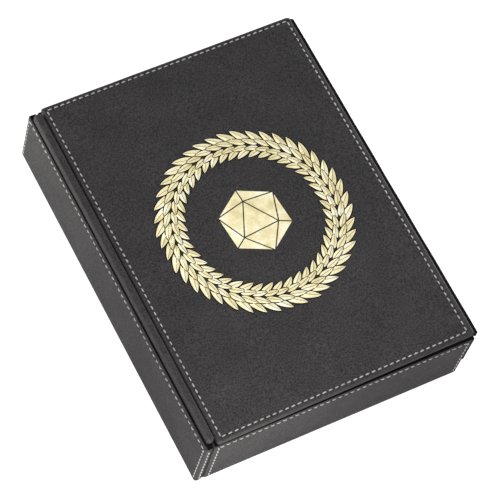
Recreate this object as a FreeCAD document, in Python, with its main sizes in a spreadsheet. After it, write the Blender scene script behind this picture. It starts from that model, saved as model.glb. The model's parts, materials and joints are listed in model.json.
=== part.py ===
import FreeCAD, Part
import Sketcher
import os

# Folding dice tray: a flat base, four walls that fold down about its edges, and a padded lid
# that turns about a rolled leather spine on top of the left wall.
# Frame: millimetres, +Z up, +Y towards the back, +X towards the lid's free edge, the left wall
# at -X. The origin is the middle of the underside.

doc = FreeCAD.newDocument("FoldingDiceTray")
sheet = doc.addObject("Spreadsheet::Sheet", "Sizes")

DRIVING = [
    ("tray_width", 175.0, "outside width, across the lid hinge"),
    ("tray_length", 230.0, "outside length, along the lid hinge"),
    ("wall_top", 44.5, "height of the walls' top edges"),
    ("leather", 0.8, "outer leather"),
    ("lining", 0.8, "inner lining"),
    ("wall_board", 3.0, "stiff board inside a wall"),
    ("board_foot", 0.6, "lining turned under the foot of a wall board"),
    ("fold_gap", 0.05, "gap between the base leather and a wall's foot"),
    ("end_groove", 1.0, "groove between a wall's end and the wall it meets"),
    ("wall_edge_round", 1.2, "rounding of a wall's outer edges"),
    ("base_board", 3.0, "stiff board of the base"),
    ("floor_foam", 1.5, "foam under the rolling surface"),
    ("floor_felt", 0.8, "felt of the rolling surface"),
    ("floor_gap", 0.6, "gap between the floor's edge and a wall's inner face"),
    ("thread_width", 0.5, "width of a row of stitches"),
    ("thread_proud", 0.15, "how far a stitch stands out of the leather"),
    ("wall_thread_inset", 2.6, "middle of a wall's stitches, from the wall's edge"),
    ("lid_thread_inset", 2.8, "middle of the lid's stitches, from the lid's edge"),
    ("lid_gap", 3.6, "hinge axis to the lid's near edge"),
    ("lid_reach", 168.5, "hinge axis to the free edge of the lid's leather"),
    ("lid_lip", 2.4, "lining that stands out past the leather at the lid's free edge"),
    ("lid_length", 228.8, "lid, along the hinge"),
    ("lid_under", 2.5, "hinge axis down to the lid's underside"),
    ("lid_lining", 1.2, "padded lining under the lid"),
    ("lid_board", 1.9, "stiff board inside the lid"),
    ("lid_foam", 0.5, "foam under the lid's leather"),
    ("lid_foam_inset", 2.0, "lid's edge to the foam's edge"),
    ("lid_edge_round", 1.6, "rounding of the lid's upper edges"),
    ("lid_corner_round", 1.6, "rounding of the lid's corners in plan"),
    ("lid_tilt", 1.45, "degrees by which the closed lid stands open"),
    ("spine_radius", 2.6, "outer radius of the rolled spine"),
    ("spine_cord_radius", 1.8, "cord inside the rolled spine"),
    ("spine_length", 224.0, "rolled spine, end to end"),
    ("spine_lift", 2.9, "wall's top edge up to the spine's middle"),
    ("spine_inset", 3.7, "left wall's outer face to the spine's middle"),
    ("band_thick", 0.25, "inner hinge band on the left wall's top edge"),
    ("band_inset", 0.6, "left wall's outer face to the inner hinge band"),
    ("lid_magnet_radius", 3.0, "closing magnets in the lid"),
    ("lid_magnet_thick", 1.5, "closing magnets in the lid"),
    ("lid_magnet_inset", 4.4, "the leather's free edge to a closing magnet's middle"),
    ("lid_magnet_pitch", 75.0, "between closing magnets"),
    ("keeper_length", 170.0, "steel strip in the right wall"),
    ("keeper_tall", 6.0, "steel strip in the right wall"),
    ("keeper_thick", 1.0, "steel strip in the right wall"),
    ("disc_radius", 1.7, "magnets in the wall that runs past a corner"),
    ("disc_thick", 2.0, "magnets in the wall that runs past a corner"),
    ("disc_inset", 2.8, "such a wall's end to its magnets' middle"),
    ("rod_radius", 1.2, "magnets in the wall that stops at a corner"),
    ("rod_length", 8.0, "magnets in the wall that stops at a corner"),
    ("low_magnet", 14.0, "height of the lower corner magnets"),
    ("high_magnet", 34.0, "height of the upper corner magnets"),
    ("emblem_outer", 58.0, "outer radius of the foil ring"),
    ("emblem_inner", 44.0, "inner radius of the foil ring"),
    ("emblem_die", 21.4, "corner radius of the foil die in the middle"),
    ("foil", 0.08, "thickness of the foil"),
]
for row, (alias, size, meaning) in enumerate(DRIVING, start=1):
    sheet.set(f"A{row}", meaning)
    sheet.set(f"B{row}", str(size))
    sheet.setAlias(f"B{row}", alias)
doc.recompute()

# Lengths that several sub-parts share, as expressions over the sheet.
WALL = "(Sizes.leather + Sizes.wall_board + Sizes.lining)"
WALL_FOOT = "(Sizes.leather + Sizes.fold_gap)"
LID_BOARD_UNDER = "(Sizes.lid_lining - Sizes.lid_under)"
LID_TOP = f"({LID_BOARD_UNDER} + Sizes.lid_board + Sizes.lid_foam + Sizes.leather)"
SIDE_END = "(Sizes.tray_length / 2)"
SHORT_SIDE_END = f"({SIDE_END} - {WALL} - Sizes.end_groove)"
FRONT_END = "(Sizes.tray_width / 2)"
SHORT_FRONT_END = f"({FRONT_END} - {WALL} - Sizes.end_groove)"
FLOOR_WIDTH = f"(Sizes.tray_width - 2 * {WALL} - 2 * Sizes.floor_gap)"
FLOOR_LENGTH = f"(Sizes.tray_length - 2 * {WALL} - 2 * Sizes.floor_gap)"
SPINE_X = "(Sizes.spine_inset - Sizes.tray_width / 2)"
SPINE_Z = "(Sizes.wall_top + Sizes.spine_lift)"

UP = FreeCAD.Vector(0, 0, 1)
AT_REST = FreeCAD.Placement()
subparts = []


def value(expression):
    """The number that an expression over the sheet stands for."""
    return float(sheet.evalExpression(expression))


def keep(item, label, placement=AT_REST):
    """Names a finished sub-part and puts it in place."""
    item.Label = label
    item.Placement = placement
    subparts.append(item)
    return item


def bind(item, **expressions):
    """Ties an object's sizes to expressions over the sheet."""
    for name, expression in expressions.items():
        item.setExpression(name.replace("__", "."), expression)
    return item


def block(name, x, y, z):
    """A box between the two expressions given for each axis."""
    box = doc.addObject("Part::Box", name)
    for size, origin, (low, high) in zip(("Length", "Width", "Height"), "xyz", (x, y, z)):
        box.setExpression(size, f"({high}) - ({low})")
        box.setExpression(f"Placement.Base.{origin}", low)
    return box


def rod(name, radius, height, along, x, y, z):
    """A cylinder that starts at a point and runs along a direction."""
    cylinder = doc.addObject("Part::Cylinder", name)
    cylinder.Placement = FreeCAD.Placement(FreeCAD.Vector(), FreeCAD.Rotation(UP, along))
    return bind(cylinder, Radius=radius, Height=height, Placement__Base__x=x,
                Placement__Base__y=y, Placement__Base__z=z)


def joined(kind, name, shapes):
    """A fusion or a compound of several shapes."""
    group = doc.addObject(kind, name)
    if kind == "Part::Compound":
        group.Links = shapes
    else:
        group.Shapes = shapes
    return group


def cut(name, base, tools):
    """The base less every tool."""
    result = doc.addObject("Part::Cut", name)
    result.Base = base
    result.Tool = tools[0] if len(tools) == 1 else joined("Part::Compound", name + "_tools", tools)
    return result


def sketch_on(body, name, role, offset="0"):
    """A sketch on one of the body's own origin planes, moved along the plane's normal."""
    sketch = body.newObject("Sketcher::SketchObject", name)
    support = next(item for item in body.Origin.OriginFeatures if item.Role == role)
    sketch.AttachmentSupport = [(support, "")]
    sketch.MapMode = "FlatFace"
    sketch.setExpression("AttachmentOffset.Base.z", offset)
    return sketch


def rectangle(sketch, x, y):
    """A rectangle whose four sides are tied to expressions."""
    corners = [(value(x[i]), value(y[j])) for i, j in ((0, 0), (1, 0), (1, 1), (0, 1))]
    points = [FreeCAD.Vector(a, b, 0) for a, b in corners]
    for i in range(4):
        sketch.addGeometry(Part.LineSegment(points[i], points[(i + 1) % 4]))
    for i in range(4):
        sketch.addConstraint(Sketcher.Constraint("Coincident", i, 2, (i + 1) % 4, 1))
        sketch.addConstraint(Sketcher.Constraint("Horizontal" if i % 2 == 0 else "Vertical", i))
    ties = [("DistanceX", 0, x[0]), ("DistanceY", 0, y[0]),
            ("DistanceX", 2, x[1]), ("DistanceY", 2, y[1])]
    for kind, side, expression in ties:
        number = sketch.addConstraint(Sketcher.Constraint(kind, -1, 1, side, 1, value(expression)))
        sketch.setExpression(f"Constraints[{number}]", expression)


def pad(body, name, sketch, length, midplane=False):
    """Material raised from a sketch along its normal."""
    feature = body.newObject("PartDesign::Pad", name)
    feature.Profile = sketch
    feature.Midplane = midplane
    feature.setExpression("Length", length)
    doc.recompute()
    return feature


def pocket(body, name, sketch, depth):
    """Material taken out above a sketch; stops if nothing was taken."""
    before = body.Shape.Volume
    feature = body.newObject("PartDesign::Pocket", name)
    feature.Profile = sketch
    feature.Reversed = True
    feature.setExpression("Length", depth)
    doc.recompute()
    if body.Shape.Volume > before - 1.0:
        raise RuntimeError(f"{name} cuts nothing")
    return feature


def rounded(body, name, base, radius, chosen):
    """Rounds the edges of the base whose two ends pass the test."""
    names = []
    for number, edge in enumerate(base.Shape.Edges, start=1):
        ends = [vertex.Point for vertex in edge.Vertexes]
        if chosen(*ends):
            names.append(f"Edge{number}")
    fillet = body.newObject("PartDesign::Fillet", name)
    fillet.Base = (base, names)
    fillet.setExpression("Radius", radius)
    doc.recompute()
    return fillet


def near(a, b):
    return abs(a - b) < 1e-4


def turned(degrees):
    """A wall drawn on the +X side, turned about the tray's middle."""
    return FreeCAD.Placement(FreeCAD.Vector(), FreeCAD.Rotation(UP, degrees))


def set_in(span, inset="Sizes.leather"):
    """A span drawn in by the same length at both ends."""
    return f"({span[0]} + {inset})", f"({span[1]} - {inset})"


def wall_cover(side, face, span, placement):
    """Leather over a wall's outer face, top edge and both ends."""
    body = doc.addObject("PartDesign::Body", side + "_cover_body")
    outline = sketch_on(body, side + "_cover_outline", "XY_Plane", WALL_FOOT)
    rectangle(outline, (f"{face} - {WALL}", face), span)
    solid = pad(body, side + "_cover_pad", outline, f"Sizes.wall_top - {WALL_FOOT}")
    inner = value(f"{face} - {WALL}")
    foot = value(WALL_FOOT)

    def outer_edge(a, b):
        on_inner_face = near(a.x, inner) and near(b.x, inner)
        at_foot = near(a.z, foot) and near(b.z, foot)
        return not on_inner_face and not at_foot

    rounded(body, side + "_cover_rounding", solid, "Sizes.wall_edge_round", outer_edge)
    hollow = sketch_on(body, side + "_cover_hollow", "XY_Plane", WALL_FOOT)
    rectangle(hollow, (f"{face} - {WALL} - Sizes.lining", f"{face} - Sizes.leather"), set_in(span))
    pocket(body, side + "_cover_pocket", hollow, f"Sizes.wall_top - Sizes.leather - {WALL_FOOT}")
    keep(body, side + "_wall_cover", placement)


def wall_lining(side, face, span, placement):
    """Lining over a wall's inner face, turned under the foot of its board."""
    back = f"{face} - {WALL}"
    panel = block(side + "_lining_panel", (back, f"{back} + Sizes.lining"), set_in(span),
                  (WALL_FOOT, "Sizes.wall_top - Sizes.leather"))
    foot = block(side + "_lining_foot", (back, f"{face} - Sizes.leather"), set_in(span),
                 (WALL_FOOT, f"{WALL_FOOT} + Sizes.board_foot"))
    shape = joined("Part::MultiFuse", side + "_lining_shape", [panel, foot])
    keep(shape, side + "_wall_lining", placement)


def wall_stitching(side, face, span, placement):
    """The rows of stitches along a wall's top edge and both ends."""
    proud = (face, f"{face} + Sizes.thread_proud")
    half = "Sizes.thread_width / 2"
    level = "Sizes.wall_top - Sizes.wall_thread_inset"
    near, far = set_in(span, "Sizes.wall_thread_inset")
    rows = [block(side + "_top_row", proud, (f"{near} - {half}", f"{far} + {half}"),
                  (f"{level} - {half}", f"{level} + {half}"))]
    for name, middle in (("near", near), ("far", far)):
        rows.append(block(f"{side}_{name}_row", proud, (f"{middle} - {half}", f"{middle} + {half}"),
                          (WALL_FOOT, f"{level} + {half}")))
    keep(joined("Part::MultiFuse", side + "_rows", rows), side + "_wall_stitching", placement)


def corner_magnets(side, face, span, kinds, suffix):
    """Two magnets, one above the other, at each end of a wall's board."""
    magnets = []
    for end, kind, limit, sign in zip(("near", "far"), kinds, span, (-1, 1)):
        for level in ("low", "high"):
            name = f"{side}_{end}_{level}_{suffix}"
            height = f"Sizes.{level}_magnet"
            if kind == "disc":
                magnets.append(rod(name, "Sizes.disc_radius", "Sizes.disc_thick", FreeCAD.Vector(1, 0, 0),
                                   f"{face} - Sizes.leather - Sizes.wall_board",
                                   f"{limit} - {sign} * Sizes.disc_inset", height))
            else:
                magnets.append(rod(name, "Sizes.rod_radius", "Sizes.rod_length",
                                   FreeCAD.Vector(0, -sign, 0),
                                   f"{face} - Sizes.leather - Sizes.wall_board / 2",
                                   f"{limit} - {sign} * Sizes.leather", height))
    return magnets


def keeper(face, suffix):
    """The steel strip that the lid's magnets close on, let into the board's inner face."""
    inner = f"{face} - Sizes.leather - Sizes.wall_board"
    top = "Sizes.wall_top - Sizes.leather"
    return block("keeper_" + suffix, (inner, f"{inner} + Sizes.keeper_thick"),
                 ("-Sizes.keeper_length / 2", "Sizes.keeper_length / 2"),
                 (f"{top} - Sizes.keeper_tall", top))


def wall(side, face, span, degrees, kinds, with_keeper=False):
    """One folding wall: leather, board, lining, stitches and corner magnets."""
    placement = turned(degrees)
    wall_cover(side, face, span, placement)
    wall_lining(side, face, span, placement)
    wall_stitching(side, face, span, placement)
    recesses = corner_magnets(side, face, span, kinds, "recess")
    if with_keeper:
        recesses.append(keeper(face, "recess"))
        strip = joined("Part::Compound", "keeper_shape", [keeper(face, "strip")])
        keep(strip, side + "_wall_keeper", placement)
    board = block(side + "_board_blank",
                  (f"{face} - Sizes.leather - Sizes.wall_board", f"{face} - Sizes.leather"),
                  set_in(span), (f"{WALL_FOOT} + Sizes.board_foot", "Sizes.wall_top - Sizes.leather"))
    keep(cut(side + "_board_shape", board, recesses), side + "_wall_board", placement)
    magnets = corner_magnets(side, face, span, kinds, "magnet")
    group = joined("Part::Compound", side + "_magnet_group", magnets)
    keep(group, side + "_wall_magnets", placement)


def base():
    """Base leather with a round fold along each edge, board, foam and felt."""
    fold = "Sizes.leather / 2"
    fold_x = f"(Sizes.tray_width / 2 - {fold})"
    fold_y = f"(Sizes.tray_length / 2 - {fold})"
    pieces = [block("base_sheet", (f"-{fold_x}", fold_x), (f"-{fold_y}", fold_y),
                    ("0", "Sizes.leather"))]
    for name, sign in (("low", "-"), ("high", "")):
        pieces.append(rod(f"fold_along_y_{name}", fold, f"2 * {fold_y}", FreeCAD.Vector(0, 1, 0),
                          f"{sign}{fold_x}", f"-{fold_y}", fold))
        pieces.append(rod(f"fold_along_x_{name}", fold, f"2 * {fold_x}", FreeCAD.Vector(1, 0, 0),
                          f"-{fold_x}", f"{sign}{fold_y}", fold))
    keep(joined("Part::MultiFuse", "base_cover_shape", pieces), "base_cover")
    level = "Sizes.leather"
    for label, thickness in (("base_board", "Sizes.base_board"), ("floor_foam", "Sizes.floor_foam"),
                             ("floor_felt", "Sizes.floor_felt")):
        layer = block(label + "_shape", (f"-{FLOOR_WIDTH} / 2", f"{FLOOR_WIDTH} / 2"),
                      (f"-{FLOOR_LENGTH} / 2", f"{FLOOR_LENGTH} / 2"), (level, f"{level} + {thickness}"))
        subparts.append(layer)
        layer.Label = label
        level = f"{level} + {thickness}"


def spine():
    """The rolled spine on the left wall, its cord, and the band on the wall's top edge."""
    middle = FreeCAD.Placement(FreeCAD.Vector(value(SPINE_X), 0, value(SPINE_Z)),
                               FreeCAD.Rotation())
    for label, radii in (("spine_sleeve", ("Sizes.spine_radius", "Sizes.spine_cord_radius")),
                         ("spine_cord", ("Sizes.spine_cord_radius",))):
        body = doc.addObject("PartDesign::Body", label + "_body")
        circles = sketch_on(body, label + "_circles", "XZ_Plane")
        for number, radius in enumerate(radii):
            circles.addGeometry(Part.Circle(FreeCAD.Vector(), FreeCAD.Vector(0, 0, 1), value(radius)))
            circles.addConstraint(Sketcher.Constraint("Coincident", number, 3, -1, 1))
            tie = circles.addConstraint(Sketcher.Constraint("Radius", number, value(radius)))
            circles.setExpression(f"Constraints[{tie}]", radius)
        pad(body, label + "_pad", circles, "Sizes.spine_length", midplane=True)
        keep(body, label, middle)
    band = block("spine_band_shape",
                 ("Sizes.band_inset - Sizes.tray_width / 2", f"{WALL} - Sizes.tray_width / 2"),
                 ("-Sizes.spine_length / 2", "Sizes.spine_length / 2"),
                 ("Sizes.wall_top", "Sizes.wall_top + Sizes.band_thick"))
    subparts.append(band)
    band.Label = "spine_band"


def lid_layer(name, inset, z):
    """A flat layer of the lid, set in from the lid's edge on all sides."""
    return block(name, (f"Sizes.lid_gap + ({inset})", f"Sizes.lid_reach - ({inset})"),
                 (f"({inset}) - Sizes.lid_length / 2", f"Sizes.lid_length / 2 - ({inset})"), z)


def lid_cover(placement):
    """Leather over the lid's top and four edges, hollow from below in two steps."""
    body = doc.addObject("PartDesign::Body", "lid_cover_body")
    outline = sketch_on(body, "lid_cover_outline", "XY_Plane", LID_BOARD_UNDER)
    rectangle(outline, ("Sizes.lid_gap", "Sizes.lid_reach"),
              ("-Sizes.lid_length / 2", "Sizes.lid_length / 2"))
    solid = pad(body, "lid_cover_pad", outline, f"{LID_TOP} - {LID_BOARD_UNDER}")
    top = value(LID_TOP)

    def upright(a, b):
        return near(a.x, b.x) and near(a.y, b.y)

    corners = rounded(body, "lid_cover_corners", solid, "Sizes.lid_corner_round", upright)
    rounded(body, "lid_cover_edges", corners, "Sizes.lid_edge_round",
            lambda *ends: all(near(end.z, top) for end in ends))
    for name, inset, depth in (("board", "Sizes.leather", "Sizes.lid_board"),
                               ("foam", "Sizes.lid_foam_inset", "Sizes.lid_board + Sizes.lid_foam")):
        hollow = sketch_on(body, f"lid_{name}_hollow", "XY_Plane", LID_BOARD_UNDER)
        rectangle(hollow, (f"Sizes.lid_gap + {inset}", f"Sizes.lid_reach - {inset}"),
                  (f"{inset} - Sizes.lid_length / 2", f"Sizes.lid_length / 2 - {inset}"))
        pocket(body, f"lid_{name}_pocket", hollow, depth)
    keep(body, "lid_cover", placement)


def lid_magnets(suffix):
    """Three closing magnets along the lid's free edge, let into the board from below."""
    return [rod(f"lid_magnet_{suffix}_{step + 1}", "Sizes.lid_magnet_radius", "Sizes.lid_magnet_thick", UP,
                "Sizes.lid_reach - Sizes.lid_magnet_inset", f"{step} * Sizes.lid_magnet_pitch", LID_BOARD_UNDER)
            for step in (-1, 0, 1)]


def lid_emblem(placement):
    """A gold foil ring round a six-sided die outline, in the middle of the lid."""
    middle = "((Sizes.lid_gap + Sizes.lid_reach) / 2)"
    outer = rod("emblem_disc", "Sizes.emblem_outer", "Sizes.foil", UP, middle, "0", LID_TOP)
    inner = rod("emblem_hole", "Sizes.emblem_inner", "Sizes.foil", UP, middle, "0", LID_TOP)
    die = doc.addObject("Part::Prism", "emblem_die")
    die.Polygon = 6
    die.Placement = FreeCAD.Placement(FreeCAD.Vector(), FreeCAD.Rotation(UP, 30))
    bind(die, Circumradius="Sizes.emblem_die", Height="Sizes.foil", Placement__Base__x=middle,
         Placement__Base__z=LID_TOP)
    ring = cut("emblem_ring", outer, [inner])
    keep(joined("Part::Compound", "emblem_shape", [ring, die]), "lid_emblem", placement)


def lid():
    """The padded lid, drawn flat about the hinge axis and then set a little open."""
    placement = FreeCAD.Placement(FreeCAD.Vector(value(SPINE_X), 0, value(SPINE_Z)),
                                  FreeCAD.Rotation(FreeCAD.Vector(0, -1, 0), value("Sizes.lid_tilt")))
    lid_cover(placement)
    lining = block("lid_lining_layer", ("Sizes.lid_gap", "Sizes.lid_reach + Sizes.lid_lip"),
                   ("-Sizes.lid_length / 2", "Sizes.lid_length / 2"), ("-Sizes.lid_under", LID_BOARD_UNDER))
    keep(joined("Part::Compound", "lid_lining_shape", [lining]), "lid_lining", placement)
    foam_under = f"{LID_BOARD_UNDER} + Sizes.lid_board"
    board = lid_layer("lid_board_blank", "Sizes.leather", (LID_BOARD_UNDER, foam_under))
    keep(cut("lid_board_shape", board, lid_magnets("recess")), "lid_board", placement)
    foam = lid_layer("lid_foam_layer", "Sizes.lid_foam_inset",
                     (foam_under, f"{foam_under} + Sizes.lid_foam"))
    keep(joined("Part::Compound", "lid_foam_shape", [foam]), "lid_foam", placement)
    keep(joined("Part::Compound", "lid_magnet_group", lid_magnets("magnet")), "lid_magnets", placement)
    height = (LID_TOP, f"{LID_TOP} + Sizes.thread_proud")
    outer = lid_layer("lid_thread_outer", "Sizes.lid_thread_inset - Sizes.thread_width / 2", height)
    inner = lid_layer("lid_thread_inner", "Sizes.lid_thread_inset + Sizes.thread_width / 2", height)
    keep(cut("lid_thread_frame", outer, [inner]), "lid_stitching", placement)
    lid_emblem(placement)


def check_model():
    """Stops if any object failed or any sub-part is not sound."""
    doc.recompute()
    for item in doc.Objects:
        if {"Invalid", "Error"} & set(item.State):
            raise RuntimeError(f"{item.Name} failed: {item.State}")
    for item in subparts:
        if item.Shape.isNull() or not item.Shape.isValid() or not item.Shape.Solids:
            raise RuntimeError(f"{item.Label} has no sound shape")


base()
wall("left", FRONT_END, (f"-{SIDE_END}", SIDE_END), 180, ("disc", "disc"))
wall("right", FRONT_END, (f"-{SHORT_SIDE_END}", SHORT_SIDE_END), 0, ("rod", "rod"), with_keeper=True)
wall("front", SIDE_END, (f"-{SHORT_FRONT_END}", FRONT_END), -90, ("rod", "disc"))
wall("back", SIDE_END, (f"-{FRONT_END}", SHORT_FRONT_END), 90, ("disc", "rod"))
spine()
lid()
check_model()

os.makedirs("parts", exist_ok=True)
for item in subparts:
    item.Shape.exportStep(f"parts/{item.Label}.step")
    box = item.Shape.BoundBox
    print(f"{item.Label:22s} solids {len(item.Shape.Solids)}  x {box.XMin:8.2f} {box.XMax:8.2f}  "
          f"y {box.YMin:8.2f} {box.YMax:8.2f}  z {box.ZMin:6.2f} {box.ZMax:6.2f}")
print(f"{len(subparts)} sub-parts written")
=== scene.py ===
import copy
import json
import math

import bmesh
import bpy
import numpy as np
from mathutils import Matrix, Vector


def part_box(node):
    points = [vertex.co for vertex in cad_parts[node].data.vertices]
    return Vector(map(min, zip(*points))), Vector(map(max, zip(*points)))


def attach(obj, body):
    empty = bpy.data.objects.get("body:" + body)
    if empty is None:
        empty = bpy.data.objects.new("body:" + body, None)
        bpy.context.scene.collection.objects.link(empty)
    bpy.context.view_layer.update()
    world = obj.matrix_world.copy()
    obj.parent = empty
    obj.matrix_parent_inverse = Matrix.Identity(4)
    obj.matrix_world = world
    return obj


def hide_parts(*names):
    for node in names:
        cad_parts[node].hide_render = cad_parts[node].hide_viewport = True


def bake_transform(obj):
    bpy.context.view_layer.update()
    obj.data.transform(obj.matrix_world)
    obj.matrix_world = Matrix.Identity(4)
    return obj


# The looks of a folding dice tray: stitched leatherette over boards, a rolled spine, velvet inside
# and a gold foil wreath on the lid. Lengths are in metres, and MM turns millimetres into them.

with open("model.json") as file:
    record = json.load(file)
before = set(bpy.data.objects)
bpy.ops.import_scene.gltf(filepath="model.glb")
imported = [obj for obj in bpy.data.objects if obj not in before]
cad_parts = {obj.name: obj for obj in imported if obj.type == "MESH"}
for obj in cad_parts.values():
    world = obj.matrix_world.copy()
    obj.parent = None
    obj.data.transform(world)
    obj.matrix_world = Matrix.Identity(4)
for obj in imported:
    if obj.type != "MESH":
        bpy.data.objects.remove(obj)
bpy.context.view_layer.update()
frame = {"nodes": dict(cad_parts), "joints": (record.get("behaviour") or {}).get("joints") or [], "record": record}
MM = 0.001
rng = np.random.default_rng(20)

STITCH_PITCH = 4.0 * MM
STITCH_LENGTH = 2.6 * MM
THREAD_RADIUS = 0.33 * MM
WALL_TOP_ROW = 2.2 * MM      # a wall's top edge down to its stitches
LEFT_END_ROW = 2.3 * MM      # the left wall's ends to their stitches
OTHER_END_ROW = 3.0 * MM     # the other walls' ends to their stitches
LID_ROW = 2.7 * MM           # the lid's edge to its stitches
SPINE_NARROWING = 1.0 * MM   # how much narrower the spine is at its front end
THREAD_SINK = 0.08 * MM      # how deep the stitches sit in the drawn-in leather
LINING_PROUD = 0.05 * MM     # how far a wall's lining stands out of the leather's inner face
WREATH_LEAVES = 44           # leaves in each row of the wreath
DIE_RADIUS = 21.9 * MM


def mm(*values):
    """Several lengths, given in millimetres."""
    return tuple(value * MM for value in values)


# ---------------------------------------------------------------- materials

def node_tree(name):
    """A new material with its node tree and its surface shader."""
    made = bpy.data.materials.new(name)
    made.use_nodes = True
    tree = made.node_tree
    return made, tree, tree.nodes["Principled BSDF"]


def add(tree, kind, **settings):
    """A shader node with its properties and input values set."""
    node = tree.nodes.new(kind)
    for name, value in settings.items():
        if hasattr(node, name):
            setattr(node, name, value)
        else:
            node.inputs[name.replace("_", " ")].default_value = value
    return node


def link(tree, source, output, target, entry):
    """Joins one node's output to another node's input."""
    tree.links.new(source.outputs[output], target.inputs[entry])


def noise(tree, place, scale, detail=3.0, rough=0.5, warp=0.0):
    """Noise over the object's own coordinates, scale in cells per metre."""
    node = add(tree, "ShaderNodeTexNoise")
    node.inputs["Scale"].default_value = scale
    node.inputs["Detail"].default_value = detail
    node.inputs["Roughness"].default_value = rough
    node.inputs["Distortion"].default_value = warp
    link(tree, place, "Object", node, "Vector")
    return node


def ramp(tree, source, output, stops):
    """Turns a value into a colour through the given stops."""
    node = add(tree, "ShaderNodeValToRGB")
    elements = node.color_ramp.elements
    while len(elements) < len(stops):
        elements.new(0.5)
    for element, (position, colour) in zip(elements, stops):
        element.position = position
        element.color = (*colour, 1.0)
    link(tree, source, output, node, "Fac")
    return node


def mix(tree, kind, factor, first, second):
    """Mixes two colour sockets; factor is a number or a (node, output) pair."""
    node = add(tree, "ShaderNodeMixRGB", blend_type=kind)
    if isinstance(factor, tuple):
        link(tree, factor[0], factor[1], node, "Fac")
    else:
        node.inputs["Fac"].default_value = factor
    link(tree, *first, node, "Color1")
    link(tree, *second, node, "Color2")
    return node


def bump(tree, shader, layers):
    """Stacks (node, output, height in metres) layers of relief onto the shader's normal."""
    previous = None
    for source, output, height in layers:
        node = add(tree, "ShaderNodeBump")
        node.inputs["Strength"].default_value = 1.0
        node.inputs["Distance"].default_value = height
        link(tree, source, output, node, "Height")
        if previous:
            link(tree, previous, "Normal", node, "Normal")
        previous = node
    link(tree, previous, "Normal", shader, "Normal")


def grey_span(tree, source, output, low, high):
    """Maps 0..1 to a number between low and high."""
    node = add(tree, "ShaderNodeMapRange")
    node.inputs["To Min"].default_value = low
    node.inputs["To Max"].default_value = high
    link(tree, source, output, node, "Value")
    return node


def leather_material(name, dark, light, rough):
    """Matt leatherette: small pebbles with creases painted darker as shade, mottled, paler along convex edges."""
    made, tree, shader = node_tree(name)
    place = add(tree, "ShaderNodeTexCoord")
    warp = noise(tree, place, 900, detail=2)
    bent = add(tree, "ShaderNodeMixRGB", blend_type="LINEAR_LIGHT")
    bent.inputs["Fac"].default_value = 0.0006
    link(tree, place, "Object", bent, "Color1")
    link(tree, warp, "Color", bent, "Color2")
    pebbles = add(tree, "ShaderNodeTexVoronoi", feature="DISTANCE_TO_EDGE")
    pebbles.inputs["Scale"].default_value = 1150
    link(tree, bent, "Color", pebbles, "Vector")
    # The pebbles' edges are painted darker: painted shade in the creases between them; the same ramp sets the
    # creases' depth.
    crease_depth_and_shade = ramp(tree, pebbles, "Distance",
                  [(0.0, (0, 0, 0)), (0.16, (0.72, 0.72, 0.72)), (0.5, (1, 1, 1))])
    grit = noise(tree, place, 4200, detail=4, rough=0.65)
    cloud = noise(tree, place, 38, detail=5, rough=0.6)
    speck = noise(tree, place, 1150, detail=3, rough=0.75)
    tone = ramp(tree, cloud, "Fac", [(0.30, dark), (0.72, light)])
    speckle = ramp(tree, speck, "Fac", [(0.36, (0.34, 0.34, 0.34)), (0.64, (1.70, 1.69, 1.69))])
    toned = mix(tree, "MULTIPLY", 0.85, (tone, "Color"), (speckle, "Color"))
    crease_shaded = mix(tree, "MULTIPLY", 0.35, (toned, "Color"), (crease_depth_and_shade, "Color"))
    geometry = add(tree, "ShaderNodeNewGeometry")
    # The colour is made paler along convex edges, where pointiness is high.
    convex_edge_mask = ramp(tree, geometry, "Pointiness", [(0.50, (0, 0, 0)), (0.62, (0.55, 0.55, 0.55))])
    edge_paled = add(tree, "ShaderNodeMixRGB", blend_type="MIX")
    edge_paled.inputs["Color2"].default_value = (*[c * 1.6 for c in light], 1.0)
    link(tree, convex_edge_mask, "Color", edge_paled, "Fac")
    link(tree, crease_shaded, "Color", edge_paled, "Color1")
    link(tree, edge_paled, "Color", shader, "Base Color")
    sheen = grey_span(tree, speck, "Fac", rough - 0.10, rough + 0.10)
    link(tree, sheen, "Result", shader, "Roughness")
    shader.inputs["Specular IOR Level"].default_value = 0.08
    bump(tree, shader, [(cloud, "Fac", 0.25 * MM), (speck, "Fac", 0.13 * MM), (crease_depth_and_shade, "Color", 0.07 * MM),
                        (grit, "Fac", 0.04 * MM)])
    return made


def velvet_material(name, dark, light):
    """Short black velvet: fine pile, brushed patches and a soft sheen."""
    made, tree, shader = node_tree(name)
    place = add(tree, "ShaderNodeTexCoord")
    pile = noise(tree, place, 5200, detail=3, rough=0.7)
    brushed = noise(tree, place, 26, detail=4, rough=0.55, warp=1.2)
    strands = noise(tree, place, 900, detail=4, rough=0.7)
    tone = ramp(tree, brushed, "Fac", [(0.35, dark), (0.68, light)])
    lint = ramp(tree, strands, "Fac", [(0.30, (0.6, 0.6, 0.6)), (0.75, (1.5, 1.5, 1.5))])
    toned = mix(tree, "MULTIPLY", 0.8, (tone, "Color"), (lint, "Color"))
    link(tree, toned, "Color", shader, "Base Color")
    rough = grey_span(tree, strands, "Fac", 0.86, 1.0)
    link(tree, rough, "Result", shader, "Roughness")
    shader.inputs["Sheen Weight"].default_value = 0.03
    shader.inputs["Sheen Roughness"].default_value = 0.5
    shader.inputs["Specular IOR Level"].default_value = 0.04
    bump(tree, shader, [(pile, "Fac", 0.12 * MM), (strands, "Fac", 0.10 * MM)])
    return made


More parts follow.
